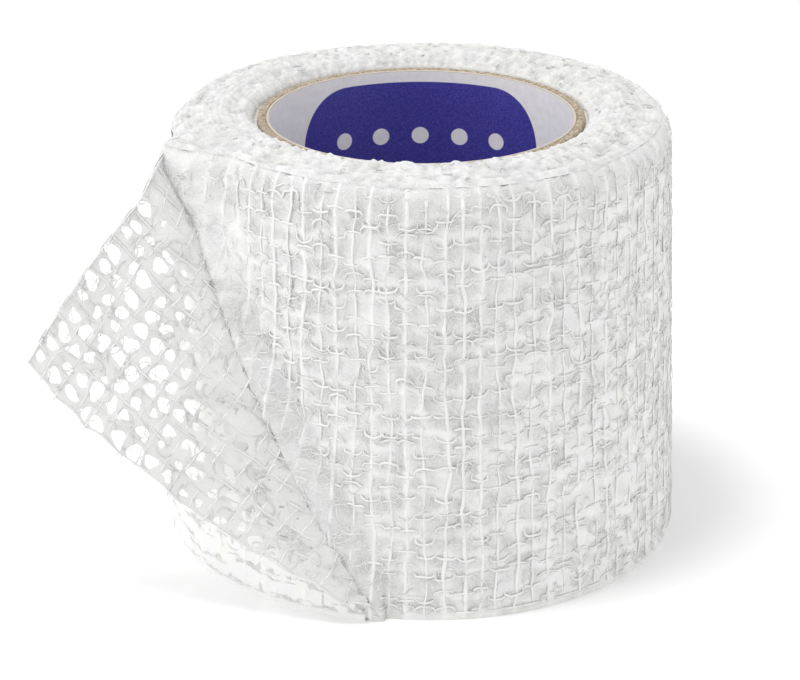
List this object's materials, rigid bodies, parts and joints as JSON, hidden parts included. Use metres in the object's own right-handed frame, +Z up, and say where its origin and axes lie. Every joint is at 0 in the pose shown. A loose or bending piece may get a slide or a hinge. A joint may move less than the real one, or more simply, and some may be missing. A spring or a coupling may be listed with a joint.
{
  "type": "cohesive bandage roll",
  "caption": "Wound roll of open-weave crepe gauze bandage on a paperboard core, standing on its end with its loose end peeled back at one corner.",
  "frame": {"origin": "bottom centre of the whole part's box, on the surface that the roll stands on", "axes": "+Z up along the core's axis, +X to the right, -Y to the front of the roll; the loose end's free corner points to -X"},
  "size_m": [0.087, 0.0714, 0.0599],
  "materials": {
    "bandage": "matte",
    "board": "matte",
    "liner": "satin"
  },
  "bodies": {
    "root": {"roll": "bandage", "loose_end": "bandage", "core": "board", "core_liner": "liner"}
  },
  "joints": []
}
